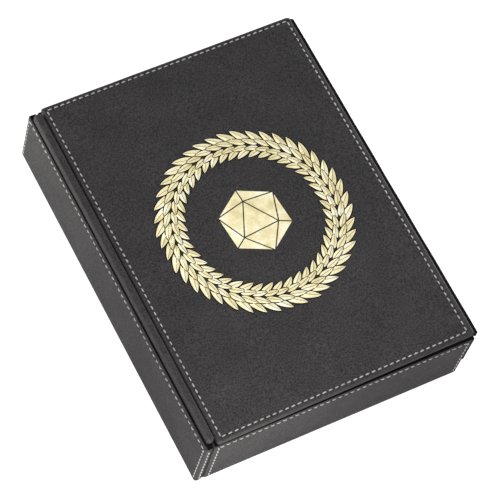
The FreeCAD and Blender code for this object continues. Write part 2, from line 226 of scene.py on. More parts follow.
def thread_material():
    """Twisted polyester thread, off-white with greyer fibres."""
    made, tree, shader = node_tree("thread")
    place = add(tree, "ShaderNodeTexCoord")
    fibres = noise(tree, place, 6500, detail=4, rough=0.7)
    soil = noise(tree, place, 60, detail=3)
    tone = ramp(tree, fibres, "Fac", [(0.30, (0.14, 0.137, 0.136)), (0.62, (0.38, 0.374, 0.367))])
    dirt = ramp(tree, soil, "Fac", [(0.35, (0.76, 0.75, 0.74)), (0.65, (1.0, 1.0, 1.0))])
    toned = mix(tree, "MULTIPLY", 1.0, (tone, "Color"), (dirt, "Color"))
    link(tree, toned, "Color", shader, "Base Color")
    rough = grey_span(tree, fibres, "Fac", 0.62, 0.82)
    link(tree, rough, "Result", shader, "Roughness")
    shader.inputs["Sheen Weight"].default_value = 0.2
    bump(tree, shader, [(fibres, "Fac", 0.06 * MM)])
    return made


def foil_material():
    """Hot-stamped pale gold: the leather's grain shows through, with a few thin spots and lighter and darker
    patches.
    """
    made, tree, shader = node_tree("gold_foil")
    place = add(tree, "ShaderNodeTexCoord")
    tone_and_glint_patches = noise(tree, place, 120, detail=4, rough=0.6)
    grain = noise(tree, place, 1700, detail=4, rough=0.7)
    # The patches run from darker gold to near white: partly the foil's own uneven tone, partly painted highlights
    # and shading of its reflections.
    tone = ramp(tree, tone_and_glint_patches, "Fac", [(0.34, (0.76, 0.67, 0.37)), (0.52, (0.92, 0.84, 0.53)),
                                       (0.66, (1.0, 0.97, 0.76))])
    pits = ramp(tree, grain, "Fac", [(0.27, (0.42, 0.34, 0.18)), (0.42, (1.0, 1.0, 1.0))])
    toned = mix(tree, "MULTIPLY", 0.8, (tone, "Color"), (pits, "Color"))
    link(tree, toned, "Color", shader, "Base Color")
    rough = grey_span(tree, grain, "Fac", 0.26, 0.46)
    link(tree, rough, "Result", shader, "Roughness")
    shader.inputs["Metallic"].default_value = 0.9
    bump(tree, shader, [(grain, "Fac", 0.05 * MM), (tone_and_glint_patches, "Fac", 0.10 * MM)])
    return made


def plain_material(name, dark, light, rough, scale, height, metallic=0.0, stretch=(1, 1, 1)):
    """A grained material for the pieces inside: board, foam, cord, magnets and steel."""
    made, tree, shader = node_tree(name)
    place = add(tree, "ShaderNodeTexCoord")
    scaled = add(tree, "ShaderNodeMapping")
    scaled.inputs["Scale"].default_value = stretch
    link(tree, place, "Object", scaled, "Vector")
    grain = add(tree, "ShaderNodeTexNoise")
    grain.inputs["Scale"].default_value = scale
    grain.inputs["Detail"].default_value = 5
    link(tree, scaled, "Vector", grain, "Vector")
    tone = ramp(tree, grain, "Fac", [(0.3, dark), (0.7, light)])
    link(tree, tone, "Color", shader, "Base Color")
    spread = grey_span(tree, grain, "Fac", rough - 0.08, rough + 0.08)
    link(tree, spread, "Result", shader, "Roughness")
    shader.inputs["Metallic"].default_value = metallic
    bump(tree, shader, [(grain, "Fac", height)])
    return made


LEATHER = leather_material("leatherette", (0.033, 0.0317, 0.0323), (0.044, 0.0424, 0.0431), 0.74)
VELVET = velvet_material("velvet", (0.0022, 0.0021, 0.0022), (0.0050, 0.0048, 0.0050))
THREAD = thread_material()
FOIL = foil_material()
INNER = {
    "board": plain_material("fibreboard", (0.30, 0.22, 0.14), (0.48, 0.38, 0.27), 0.8, 1800, 0.05 * MM),
    "foam": plain_material("foam_sheet", (0.42, 0.41, 0.37), (0.62, 0.61, 0.57), 0.9, 2600, 0.15 * MM),
    "cord": plain_material("cotton_cord", (0.34, 0.31, 0.25), (0.56, 0.53, 0.46), 0.9, 1500, 0.15 * MM,
                           stretch=(1, 0.2, 1)),
    "magnet": plain_material("nickel_plate", (0.60, 0.58, 0.54), (0.74, 0.73, 0.70), 0.25, 900, 0.01 * MM,
                             metallic=1.0),
    "steel": plain_material("steel_strip", (0.40, 0.41, 0.42), (0.58, 0.59, 0.60), 0.35, 700, 0.02 * MM,
                            metallic=1.0, stretch=(1, 0.05, 1)),
}


# ---------------------------------------------------------------- mesh tools

def build(name, points, faces, *materials, smooth=True):
    """A mesh object from arrays of points and faces."""
    mesh = bpy.data.meshes.new(name)
    mesh.from_pydata(np.asarray(points).tolist(), [], [list(map(int, face)) for face in faces])
    for material in materials:
        mesh.materials.append(material)
    if smooth:
        mesh.shade_smooth()
    mesh.update()
    made = bpy.data.objects.new(name, mesh)
    bpy.context.scene.collection.objects.link(made)
    return made


def surface_grid(xs, ys, zs):
    """Points and outward quads of the surface of a box cut along the given lines."""
    on = np.zeros((len(xs), len(ys), len(zs)), bool)
    on[[0, -1], :, :] = True
    on[:, [0, -1], :] = True
    on[:, :, [0, -1]] = True
    index = -np.ones(on.shape, int)
    index[on] = np.arange(on.sum())
    i, j, k = np.nonzero(on)
    quads = []
    for axis in range(3):
        for side in (0, -1):
            sheet = np.take(index, side, axis=axis)
            ring = (sheet[:-1, :-1], sheet[1:, :-1], sheet[1:, 1:], sheet[:-1, 1:])
            quad = np.stack(ring, -1).reshape(-1, 4)
            outward = (side == -1) != (axis == 1)
            quads.append(quad if outward else quad[:, ::-1])
    return np.stack([xs[i], ys[j], zs[k]], 1), np.concatenate(quads)


def grid_lines(low, high, round_low, round_high, spacing, band=0.0, fine=0.0, steps=5):
    """Lines along one axis: close over the rounded edges, fine in a band inside them, then even."""
    bend = np.tan(np.linspace(0, math.pi / 4, steps + 1))[1:]
    first, last = low + round_low, high - round_high
    steps_between = max(2, round((last - first - 2 * band) / spacing) + 1)
    middle = [np.linspace(first + band, last - band, steps_between)]
    if band:
        count = round(band / fine)
        middle.insert(0, np.linspace(first, first + band, count, endpoint=False))
        middle.append(np.linspace(last, last - band, count, endpoint=False)[::-1])
    return np.concatenate([low + round_low * (1 - bend[::-1]), *middle, high - round_high * (1 - bend)])


def rounded_slab(low, high, round_low, round_high, spacing, band=(0, 0, 0), fine=0.55 * MM, steps=5):
    """Points, normals and quads of a box with rounded edges; roundings are given for each axis."""
    low, high = np.array(low, float), np.array(high, float)
    round_low, round_high = np.array(round_low, float), np.array(round_high, float)
    axes = [grid_lines(low[a], high[a], round_low[a], round_high[a], spacing[a], band[a], fine, steps)
            for a in range(3)]
    points, quads = surface_grid(*axes)
    core = np.clip(points, low + round_low, high - round_high)
    radii = np.where(points < core, round_low, round_high)
    step = (points - core) / radii
    step /= np.linalg.norm(step, axis=1, keepdims=True)
    normals = step / radii
    normals /= np.linalg.norm(normals, axis=1, keepdims=True)
    return core + step * radii, normals, quads


def ripple(points, height, length):
    """A gentle unevenness made of a few crossing waves."""
    total = np.zeros(len(points))
    for turn, stretch in ((0.3, 1.0), (1.4, 0.62), (2.5, 0.81), (3.9, 0.47)):
        way = np.array([math.cos(turn), math.sin(turn), 0.7 * math.cos(2 * turn)])
        total += np.sin(points @ way * (2 * math.pi / (length * stretch)) + 5 * turn)
    return total * height / 4


class Row:
    """A straight row of stitches between two points, on a face with the given outward normal."""

    def __init__(self, start, end, normal):
        self.start = np.array(start, float)
        self.normal = np.array(normal, float)
        span = np.array(end, float) - self.start
        self.length = float(np.linalg.norm(span))
        self.way = span / self.length
        self.side = np.cross(self.normal, self.way)
        self.count = max(1, round(self.length / STITCH_PITCH))
        self.pitch = self.length / self.count

    def relief(self, points, normals):
        """How far the leather is drawn in beside the row, and further at each needle hole."""
        offset = points - self.start
        along = offset @ self.way
        across = offset @ self.side
        above = offset @ self.normal
        facing = np.clip((normals @ self.normal - 0.3) / 0.4, 0, 1)
        near = facing * (np.abs(above) < 1.5 * MM)
        over = np.maximum(np.maximum(-along, along - self.length), 0)
        groove = np.exp(-(across / (0.85 * MM)) ** 2 - (over / (0.85 * MM)) ** 2)
        step = np.mod(along / self.pitch, 1.0)
        hole = np.minimum(step, 1 - step) * self.pitch
        dimple = np.exp(-(across / (0.6 * MM)) ** 2 - (hole / (0.7 * MM)) ** 2 - (over / (0.5 * MM)) ** 2)
        return -near * (0.16 * MM * groove + 0.22 * MM * dimple)

    def stitches(self):
        """The middle of each stitch."""
        for step in range(self.count):
            yield self.start + self.way * (step + 0.5) * self.pitch


def tube_faces(rings, around, base=0):
    """Faces of a closed tube of equal rings of points, with both ends capped."""
    faces = []
    for ring in range(rings - 1):
        for step in range(around):
            a = base + ring * around + step
            b = base + ring * around + (step + 1) % around
            faces.append((a, b, b + around, a + around))
    last = base + (rings - 1) * around
    faces.append(tuple(reversed(range(base, base + around))))
    faces.append(tuple(range(last, last + around)))
    return faces


def drawn_in(points, normals, rows):
    """Moves points along their normals where rows of stitches draw the leather in."""
    total = np.zeros(len(points))
    for row in rows:
        total += row.relief(points, normals)
    return points + normals * total[:, None]


def stitch(row, middle, turn, reach):
    """Rings of points of one short twisted thread, which dips at both ends."""
    half = STITCH_LENGTH / 2 * (row.pitch / STITCH_PITCH) * rng.uniform(0.95, 1.04)
    slant = math.radians(5.0 + rng.uniform(-2.5, 2.5))
    way = row.way * math.cos(slant) + row.side * math.sin(slant)
    side = np.cross(row.normal, way)
    fat = THREAD_RADIUS * rng.uniform(0.92, 1.08)
    points = []
    for x in reach:
        thin = math.sqrt(max(0.0, 1 - x ** 4)) * 0.92 + 0.08
        rise = fat * 0.55 * (1 - x * x) - fat * 1.1 * abs(x) ** 5 - THREAD_SINK
        for angle in turn:
            twist = 1 + 0.13 * math.cos(2 * angle - 7.0 * x)
            radius = fat * thin * twist
            points.append(middle + way * (x * half) + side * (1.25 * radius * math.cos(angle))
                          + row.normal * (rise + radius * math.sin(angle)))
    return points


def stitched(name, rows):
    """One mesh of every stitch of several rows."""
    around, along = 8, 9
    turn = np.linspace(0, 2 * math.pi, around, endpoint=False)
    reach = np.sin(np.linspace(-math.pi / 2, math.pi / 2, along))
    points, faces = [], []
    for row in rows:
        for middle in row.stitches():
            faces += tube_faces(along, around, len(points))
            points += stitch(row, middle, turn, reach)
    made = build(name, points, faces, THREAD)
    return made


def moved(points, matrix):
    """Points carried by a 4 by 4 matrix."""
    matrix = np.array(matrix)
    return points @ matrix[:3, :3].T + matrix[:3, 3]


def tidy_normals(item):
    """Makes the faces of a closed mesh look outward."""
    grown = bmesh.new()
    grown.from_mesh(item.data)
    bmesh.ops.recalc_face_normals(grown, faces=grown.faces)
    grown.to_mesh(item.data)
    grown.free()


def swept(name, outline, stations, *materials):
    """A closed section carried straight along Y, with flat ends; outline is a list of (x, z)."""
    points = [(x, y, z) for y in stations for x, z in outline]
    made = build(name, points, tube_faces(len(stations), len(outline)), *materials)
    tidy_normals(made)
    return made


def ribbon(path, thickness):
    """The closed outline of a strip of even thickness that follows a path of (x, z) points."""
    path = np.array(path, float)
    way = np.gradient(path, axis=0)
    way /= np.linalg.norm(way, axis=1, keepdims=True)
    across = np.stack([-way[:, 1], way[:, 0]], 1) * thickness / 2
    return [tuple(p) for p in path + across] + [tuple(p) for p in (path - across)[::-1]]


# ---------------------------------------------------------------- places, from the frame

def joint(name):
    """A joint of the frame, by its name."""
    return next(j for j in frame["joints"] if j["name"] == name)


BOX = {name: tuple(np.array(corner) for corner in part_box(name)) for name in frame["nodes"]}
HINGE = np.array(joint("lid_hinge")["pos_m"])

# The lid's own frame: the hinge axis at its origin, turned by the angle at which the lid stands.
LINING_POINTS = np.array([v.co for v in frame["nodes"]["lid_lining"].data.vertices])
LOW_EDGE = LINING_POINTS[LINING_POINTS[:, 2].argmin()]
FREE_EDGE = LINING_POINTS[LINING_POINTS[:, 0].argmax()]
TILT = math.atan2(FREE_EDGE[2] - LOW_EDGE[2], FREE_EDGE[0] - LOW_EDGE[0])
LID = Matrix.Translation(Vector(HINGE)) @ Matrix.Rotation(-TILT, 4, "Y")


def lid_box(node):
    """A lid node's box in the lid's own frame."""
    points = np.array([v.co for v in frame["nodes"][node].data.vertices])
    inside = moved(points, LID.inverted())
    return inside.min(0), inside.max(0)


LID_LOW, LID_HIGH = lid_box("lid_cover")
PAD_LOW, PAD_HIGH = lid_box("lid_lining")
LID_MIDDLE = (LID_LOW + LID_HIGH) / 2


# ---------------------------------------------------------------- lid

def lid_swell(x, y):
    """How far the padded top stands above its edge height, in the lid's own frame."""
    edge = np.minimum(np.minimum(x - LID_LOW[0], LID_HIGH[0] - x),
                      np.minimum(y - LID_LOW[1], LID_HIGH[1] - y))
    full = np.clip((edge - LID_ROW) / (11 * MM), 0, 1)
    crown = 0.30 * MM * full * full * (3 - 2 * full)
    return crown + ripple(np.stack([x, y, 0 * x], 1), 0.10 * MM, 70 * MM) * full


def lid_rows(z, normal):
    """The four rows of stitches round the lid at one height."""
    x0, y0 = LID_LOW[:2] + LID_ROW
    x1, y1 = LID_HIGH[:2] - LID_ROW
    corners = [(x0, y0, z), (x1, y0, z), (x1, y1, z), (x0, y1, z)]
    return [Row(corners[i], corners[(i + 1) % 4], normal) for i in range(4)]


def sewn(name, rows, matrix):
    """Stitches for rows that were drawn in a frame of their own."""
    spin = np.array(matrix)[:3, :3]
    carried = [copy.copy(row) for row in rows]
    for row in carried:
        row.start = moved(row.start[None], matrix)[0]
        row.way, row.side, row.normal = spin @ row.way, spin @ row.side, spin @ row.normal
    return stitched(name, carried)


def make_lid_leather(rows):
    """Leather over the lid's padded top and its four edges, drawn in along its stitches."""
    points, normals, quads = rounded_slab(
        LID_LOW, LID_HIGH, mm(1.5, 1.5, 0.5), mm(2.4, 1.5, 1.7), mm(1, 1, 1), band=mm(4, 4, 0))
    points = drawn_in(points, normals, rows)
    upward = np.clip(normals[:, 2], 0, 1)
    points[:, 2] += lid_swell(points[:, 0], points[:, 1]) * upward
    sideways = np.abs(normals[:, 2]) < 0.9
    points += normals * (sideways * (0.10 * MM + ripple(points, 0.06 * MM, 45 * MM)))[:, None]
    # The free edge reaches out, more at the front than at the back.
    along = points[:, 1] / LID_HIGH[1]
    free = np.clip((points[:, 0] - LID_HIGH[0]) / (1.5 * MM) + 1.4, 0, 1)
    points[:, 0] += free * (0.85 - 0.6 * along) * MM
    # The lower edge is turned down, more near the spine than at the free edge.
    share = (points[:, 0] - LID_LOW[0]) / (LID_HIGH[0] - LID_LOW[0])
    points[:, 2] -= (points[:, 2] < LID_LOW[2] + 0.4 * MM) * (0.9 - 1.1 * share) * MM
    leather = build("lid_leather", moved(points, LID), quads, LEATHER)
    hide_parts("lid_cover")
    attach(leather, "lid")


def make_lid_velvet(rows):
    """Velvet under the lid; its lip shows past the free edge and droops at the front corner, as painted shade
    there.
    """
    edge = 0.35 * MM
    low = PAD_LOW + np.array([edge, edge, 0])
    high = PAD_HIGH + np.array([0, -edge, 0.2 * MM])
    points, normals, quads = rounded_slab(
        low, high, mm(0.7, 0.7, 0.6), mm(2.0, 1.6, 0.6), mm(1.2, 1.2, 0.8), band=mm(4, 4, 0))
    points = drawn_in(points, normals, rows)
    # The black lip past the free edge, and its droop at the front corner, paint the shade along the lid's unlit
    # edge.
    shade_lip = np.clip((points[:, 0] - LID_HIGH[0]) / (2 * MM), 0, 1)
    reach = 1.4 * MM - 0.6 * MM * points[:, 1] / high[1]
    points[:, 0] += shade_lip * (reach + ripple(points, 0.12 * MM, 60 * MM))
    points[:, 2] += ripple(points, 0.10 * MM, 50 * MM) * (normals[:, 2] < -0.5)
    corner = np.clip((LID_LOW[1] + 14 * MM - points[:, 1]) / (12 * MM), 0, 1) ** 2
    points[:, 2] -= shade_lip * (normals[:, 2] < 0.3) * (0.3 + 3.7 * corner) * MM
    pad = build("lid_velvet", moved(points, LID), quads, VELVET)
    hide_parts("lid_lining")
    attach(pad, "lid")


def make_lid():
    """The lid's leather, its stitches above and below, and its velvet."""
    rows = lid_rows(LID_HIGH[2], (0, 0, 1))
    under_rows = lid_rows(PAD_LOW[2], (0, 0, -1))
    make_lid_leather(rows)
    thread = sewn("lid_thread", rows + under_rows, LID)
    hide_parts("lid_stitching")
    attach(thread, "lid")
    make_lid_velvet(under_rows)


# ---------------------------------------------------------------- emblem

def shrunk(corners, gap):
    """A convex outline moved inward by half a gap on every side; corners run anticlockwise."""
    corners = np.array(corners, float)
    count = len(corners)
    lines = []
    for i in range(count):
        way = corners[(i + 1) % count] - corners[i]
        way /= np.linalg.norm(way)
        inward = np.array([-way[1], way[0]])
        lines.append((corners[i] + inward * gap / 2, way))
    result = []
    for i in range(count):
        (p, u), (q, v) = lines[i - 1], lines[i]
        step = np.linalg.solve(np.array([u, -v]).T, q - p)
        result.append(p + u * step[0])
    return result


def anticlockwise(corners):
    """The same corners, turning to the left."""
    total = sum(a[0] * b[1] - b[0] * a[1] for a, b in zip(corners, corners[1:] + corners[:1]))
    return corners if total > 0 else corners[::-1]


def die_plates(radius):
    """The ten visible faces of a twenty-sided die, seen corner up, as outlines with their lifts."""
    def ring(size, count, start):
        angles = [math.radians(start - 360 * i / count) for i in range(count)]
        return [(size * math.cos(a), size * math.sin(a)) for a in angles]

    rim, face = ring(radius, 6, 95), ring(0.62 * radius, 3, 95)
    raised = {corner: 0.14 * MM for corner in face}
    plates = [[face[0], face[1], face[2]]]
    for i in range(3):
        here, following = face[i], face[(i + 1) % 3]
        tip, after, before = rim[2 * i], rim[(2 * i + 1) % 6], rim[2 * i - 1]
        plates += [[here, after, following], [here, tip, after], [here, before, tip]]
    plates = [anticlockwise(plate) for plate in plates]
    return [(shrunk(plate, 0.75 * MM), [0.06 * MM + raised.get(corner, 0) for corner in plate], 0)
            for plate in plates]


def leaf(root_radius, root_angle, length, width, lean, layer):
    """A pointed leaf leaning off a circle: a dark rim and two gold halves that rise to the tip."""
    share = np.linspace(0, 1, 9)
    radius = root_radius + length * math.sin(lean) * share ** 1.15
    angle = root_angle + length * math.cos(lean) * share / root_radius
    middle = np.stack([radius * np.cos(angle), radius * np.sin(angle)], 1)
    way = np.gradient(middle, axis=0)
    way /= np.linalg.norm(way, axis=1, keepdims=True)
    across = np.stack([-way[:, 1], way[:, 0]], 1)
    half = width / 2 * np.sin(math.pi * share ** 0.75) ** 0.7
    lift = (0.05 + layer + 0.16 * share) * MM

    def outline(inner, outer, side, drop, ridge=0.0):
        near = middle + across * (side * inner)[:, None]
        far = middle + across * (side * outer)[:, None]
        corners = np.concatenate([near, far[::-1]])
        lifts = np.concatenate([lift + ridge * half, lift[::-1]]) - drop
        order = 1 if side > 0 else -1
        return corners[::-order], lifts[::-order]

    rim = 0.60 * MM
    vein = np.minimum(0.13 * MM, half * 0.5)
    hair = 0.001 * MM    # keeps a half open at the leaf's tips, where it has no width
    plates = [(*outline(-half - rim, half + rim, 1, 0.035 * MM), 1)]
    for side in (1, -1):
        plates.append((*outline(vein, half + hair, side, 0.0, ridge=0.08), 0))
    return plates


def wreath_plates():
    """Overlapping leaves in four rows round a circle, all pointing the same way round."""
    # Each row: root radius, shift along the circle in sevenths of a step, length, width, lean in
    # degrees and height over the lid; lengths are in millimetres.
    rows = ((50.8, 0.0, 13.2, 4.6, 37, 0.0), (46.6, 1.0, 10.2, 3.6, -36, 0.0),
            (47.8, 2.4, 9.4, 3.2, -10, 0.06), (50.2, 3.4, 10.0, 3.4, 15, 0.12))
    plates = []
    for step in range(WREATH_LEAVES):
        size = 1 + 0.04 * math.sin(5.0 * step) + 0.03 * math.cos(2.3 * step)
        for root, shift, length, width, lean, layer in rows:
            angle = 2 * math.pi * (step + shift / 7) / WREATH_LEAVES
            plates += leaf(root * MM, angle, length * size * MM, width * size * MM,
                           math.radians(lean), layer)
    return plates


def plated(name, plates):
    """Thin plates on the lid's padded top, in the lid's own frame about its middle.

    A plate is its outline, the lift of each corner and its material: 0 for foil, 1 for velvet.
    """
    points, faces, kinds = [], [], []
    for outline, lifts, kind in plates:
        outline = np.array(outline) + LID_MIDDLE[:2]
        level = LID_HIGH[2] + lid_swell(outline[:, 0], outline[:, 1])
        base, count = len(points), len(outline)
        for height in (level - 0.05 * MM, level + lifts):
            points += [(x, y, z) for (x, y), z in zip(outline, height)]
        faces.append(tuple(base + count + i for i in range(count)))
        faces.append(tuple(base + i for i in reversed(range(count))))
        for i in range(count):
            after = (i + 1) % count
            faces.append((base + i, base + after, base + count + after, base + count + i))
        kinds += [kind] * (count + 2)
    made = build(name, moved(np.array(points), LID), faces, FOIL, VELVET, smooth=False)
    made.data.polygons.foreach_set("material_index", kinds)
    return made


def make_emblem():
    """The gold foil wreath and die."""
    emblem = plated("gold_emblem", wreath_plates() + die_plates(DIE_RADIUS))
    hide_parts("lid_emblem")
    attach(emblem, "lid")


# ---------------------------------------------------------------- walls

def wall_turn(side):
    """The turn about Z that carries a wall drawn on the +X side to its place."""
    degrees = {"right": 0, "back": 90, "left": 180, "front": -90}[side]
    return Matrix.Rotation(math.radians(degrees), 4, "Z")


def wall_box(side, node):
    """A wall node's box, turned back to the +X side."""
    low, high = BOX[node]
    corners = moved(np.array([low, high]), wall_turn(side).inverted())
    return corners.min(0), corners.max(0)


def wall_ends(side, low, high):
    """Both ends of a wall: its Y, the way out, whether it has a black strip of painted shade, and its stitches' Y.

    The strip is on the front and back walls, where they run past the right wall; it paints the shade at that
    corner.
    """
    base_low, base_high = wall_box(side, "base_cover")
    inset = LEFT_END_ROW if side == "left" else OTHER_END_ROW
    return [(limit, out, side != "left" and abs(limit - base_limit) < 0.5 * MM, limit - out * inset)
            for limit, base_limit, out in ((low[1], base_low[1], -1), (high[1], base_high[1], 1))]


def wall_rows(side, low, high, ends):
    """The rows of stitches on a wall's outer face, and on both ends of the left wall."""
    face, middle = high[0], (low[0] + high[0]) / 2
    near, far = ends[0][3], ends[1][3]
    level = high[2] - WALL_TOP_ROW
    rows = [Row((face, near, level), (face, far, level), (1, 0, 0))]
    rows += [Row((face, y, level), (face, y, low[2] + 1.2 * MM), (1, 0, 0)) for y in (near, far)]
    if side == "left":
        rows += [Row((middle, limit, high[2] - 2.4 * MM), (middle, limit, low[2] + 1.6 * MM), (0, out, 0))
                 for limit, out, _, _ in ends]
    return rows


def make_wall_leather(side, low, high, ends, rows):
    """Leather over a wall's board, drawn in along its stitches and a little short of its black strip of painted
    shade.
    """
    trim = [0.5 * MM if shade_edged else 0.0 for _, _, shade_edged, _ in ends]
    points, normals, quads = rounded_slab(
        (low[0] + 0.25 * MM, low[1] + trim[0], low[2]), (high[0], high[1] - trim[1], high[2] - 0.05 * MM),
        mm(0.8, 1.3, 0.35), mm(1.3, 1.3, 1.1), mm(1, 1, 1), band=mm(0, 3, 0))
    points = drawn_in(points, normals, rows)
    flat = (np.clip((high[2] - points[:, 2]) / (6 * MM), 0, 1)
            * np.clip((points[:, 2] - low[2]) / (6 * MM), 0, 1))
    points += normals * ((ripple(points, 0.09 * MM, 50 * MM) + 0.05 * MM) * flat)[:, None]
    leather = build(side + "_wall_leather", moved(points, wall_turn(side)), quads, LEATHER)
    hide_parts(side + "_wall_cover")
    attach(leather, side + "_wall")


def make_wall_thread(side, low, high, ends, rows):
    """The wall's stitches, outside and along the top of its inner face."""
    inner, level = low[0] - LINING_PROUD, high[2] - WALL_TOP_ROW
    inside = Row((inner, ends[0][3], level), (inner, ends[1][3], level), (-1, 0, 0))
    thread = sewn(side + "_wall_thread", rows + [inside], wall_turn(side))
    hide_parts(side + "_wall_stitching")
    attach(thread, side + "_wall")


def make_wall_velvet(side, low, high, ends):
    """Velvet over a wall's inner face and top edge, and its black strip of painted shade, as one piece."""
    back, face, top = low[0], high[0], high[2]
    inner, middle = back - LINING_PROUD, (back + face) / 2
    turned_in = 0.5 * MM
    panel = rounded_slab(
        (inner, low[1] + 0.9 * MM, low[2] + 0.1 * MM), (back + 0.55 * MM, high[1] - 0.9 * MM, top),
        mm(0.28, 0.6, 0.3), mm(0.28, 0.6, 0.3), mm(0.3, 2.0, 2.0), steps=3)
    cap = rounded_slab(
        (inner, low[1] + turned_in, top - 0.40 * MM),
        (face - turned_in, high[1] - turned_in, top + 0.12 * MM),
        mm(0.5, 0.5, 0.15), mm(0.35, 0.5, 0.15), mm(1.0, 2.0, 0.2), steps=3)
    if side == "left":
        outer = np.clip((cap[0][:, 0] - middle) / (face - turned_in - middle), 0, 1)
        cap[0][:, 0] -= outer * SPINE_NARROWING * (0.5 + cap[0][:, 1] / (2 * high[1]))
    parts = [panel, cap]
    # At an end that runs past the right wall, a black velvet strip from 15 mm up paints the shade at that corner.
    for limit, out, shade_edged, _ in ends:
        if shade_edged:
            across = sorted((limit - out * 1.2 * MM, limit + out * 0.8 * MM))
            parts.append(rounded_slab(
                (inner + 0.3 * MM, across[0], low[2] + 15 * MM),
                (face - 0.3 * MM, across[1], top - 0.2 * MM),
                mm(0.5, 0.4, 1.2), mm(0.5, 0.4, 0.6), mm(1.0, 0.4, 2.0), steps=3))
    points = np.concatenate([part[0] for part in parts])
    starts = np.cumsum([0] + [len(part[0]) for part in parts])
    quads = np.concatenate([part[2] + start for part, start in zip(parts, starts)])
    velvet = build(side + "_wall_velvet", moved(points, wall_turn(side)), quads, VELVET)
    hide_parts(side + "_wall_lining")
    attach(velvet, side + "_wall")


def make_wall(side):
    """One wall's leather, stitches and velvet, drawn on the +X side and turned to its place."""
    low, high = wall_box(side, side + "_wall_cover")
    ends = wall_ends(side, low, high)
    rows = wall_rows(side, low, high, ends)
    make_wall_leather(side, low, high, ends, rows)
    make_wall_thread(side, low, high, ends, rows)
    make_wall_velvet(side, low, high, ends)


def make_fold(side):
    """The leather that turns from under the base up into a wall."""
    low, high = wall_box(side, side + "_wall_cover")
    turn = wall_turn(side)
    face = high[0]
    foot = low[2]
    bend = 0.95 * MM
    arc = [(face - bend + bend * math.sin(a), bend - bend * math.cos(a))
           for a in np.linspace(0, math.pi / 2, 12)]
    outer = [(face - 4.5 * MM, 0.0), (face - 3.0 * MM, 0.0), (face - 1.8 * MM, 0.0), *arc,
             (face, foot + 0.45 * MM)]
    inner = [(face - 0.30 * MM, foot + 0.35 * MM), (face - 0.42 * MM, foot - 0.10 * MM),
             (face - 0.80 * MM, 0.45 * MM), (face - 1.5 * MM, 0.34 * MM), (face - 4.5 * MM, 0.30 * MM)]
    spare = 0.9 * MM
    stations = np.linspace(low[1] + spare, high[1] - spare, round((high[1] - low[1]) / (4 * MM)))
    strip = swept(side + "_fold", outer + inner, stations, LEATHER)
    strip.data.transform(turn)
    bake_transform(strip)


# ---------------------------------------------------------------- spine

def make_spine():
    """The rolled leather spine, closed and rounded at both ends."""
    low, high = BOX["spine_sleeve"]
    middle = (low + high) / 2
    radius = (high[0] - low[0]) / 2
    half = (high[1] - low[1]) / 2
    cap = 2.4 * MM
    around, along = 36, 120
    squareness = 6
    sweep = np.sin(np.linspace(0, math.pi / 2, 9))
    ends = half - cap + cap * sweep
    stations = np.concatenate([-ends[::-1], np.linspace(-half + cap, half - cap, along)[1:-1], ends])
    turn = np.linspace(0, 2 * math.pi, around, endpoint=False)
    points = []
    for y in stations:
        past = max(0.0, abs(y) - (half - cap)) / cap
        size = radius * math.sqrt(max(0.0, 1 - past ** 2.4)) * 0.985 + 0.015 * radius
        for a in turn:
            crinkle = 1 + 0.012 * math.sin(3 * a + 140 * y) + 0.010 * math.sin(2 * a - 310 * y + 1.0)
            square = (abs(math.cos(a)) ** squareness + abs(math.sin(a)) ** squareness) ** (-1 / squareness)
            drawn = SPINE_NARROWING * (0.5 - y / (2 * half)) * (1 - math.cos(a)) / 2
            points.append((middle[0] + size * crinkle * square * math.cos(a) + drawn, middle[1] + y,
                           middle[2] + size * crinkle * square * math.sin(a)))
    roll = build("spine_roll", points, tube_faces(len(stations), around), LEATHER)
    tidy_normals(roll)
    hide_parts("spine_sleeve", "spine_cord")
    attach(roll, "left_wall")


def make_band():
    """The black inner band: on the left wall's top edge, across the gap, onto the lid's underside."""
    low, high = BOX["spine_band"]
    level = high[2] - 0.05 * MM
    under = PAD_LOW[2] - 0.06 * MM
    glued = np.array([(PAD_LOW[0] + past, 0, under) for past in mm(1, 6)])
    lid_start, lid_end = moved(glued, LID)[:, [0, 2]]
    turn_off = high[0] - 0.3 * MM
    on_wall = [(x, level) for x in np.linspace(low[0] + 0.4 * MM, turn_off, 8)]
    across = [(turn_off + (lid_start[0] - turn_off) * s, level + (lid_start[1] - level) * s * s)
              for s in np.linspace(0, 1, 26)[1:]]
    on_lid = [tuple(lid_start + (lid_end - lid_start) * s) for s in np.linspace(0, 1, 6)[1:]]
    stations = np.linspace(low[1] + 0.5 * MM, high[1] - 0.5 * MM, 60)
    band = swept("spine_inner_band", ribbon(on_wall + across + on_lid, 0.22 * MM), stations, VELVET)
    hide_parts("spine_band")
    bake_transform(band)


def make_crease_shade():
    """The dark strip between the spine and the lid's near edge, in black velvet: painted shade in the gap there.
    """
    low, high = BOX["spine_sleeve"]
    radius = (high[0] - low[0]) / 2
    gap = LID_LOW[0] - radius
    path = []
    for s in np.linspace(0, 1, 26):
        angle = math.radians(40 - 36 * s)
        reach = radius - 0.1 * MM + (gap + 0.2 * MM) * s - 0.25 * MM * math.sin(math.pi * s)
        path.append((HINGE[0] + reach * math.cos(angle), HINGE[2] + reach * math.sin(angle)))
    stations = np.linspace(low[1] + 2.2 * MM, high[1] - 2.2 * MM, 60)
    # Black velvet: painted shade in the gap between the spine and the lid.
    strip = swept("spine_crease_shade", ribbon(path, 0.24 * MM), stations, VELVET)
    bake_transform(strip)


# ---------------------------------------------------------------- base and floor

def make_base():
    """The underside's leather, with velvet where its upper side shows beside the floor."""
    low, high = BOX["base_cover"]
    inset = 0.75 * MM
    low = np.array([low[0] + inset, low[1] + inset, low[2] + 0.06 * MM])
    high = np.array([high[0] - inset, high[1] - inset, high[2] - 0.02 * MM])
    points, _, quads = rounded_slab(low, high, mm(0.5, 0.5, 0.30), mm(0.5, 0.5, 0.30),
                                    mm(3, 3, 0.3), steps=3)
    leather = build("base_leather", points, quads, LEATHER, VELVET)
    for face in leather.data.polygons:
        if face.normal.z > 0.5:
            face.material_index = 1
    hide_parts("base_cover")
    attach(leather, "base")


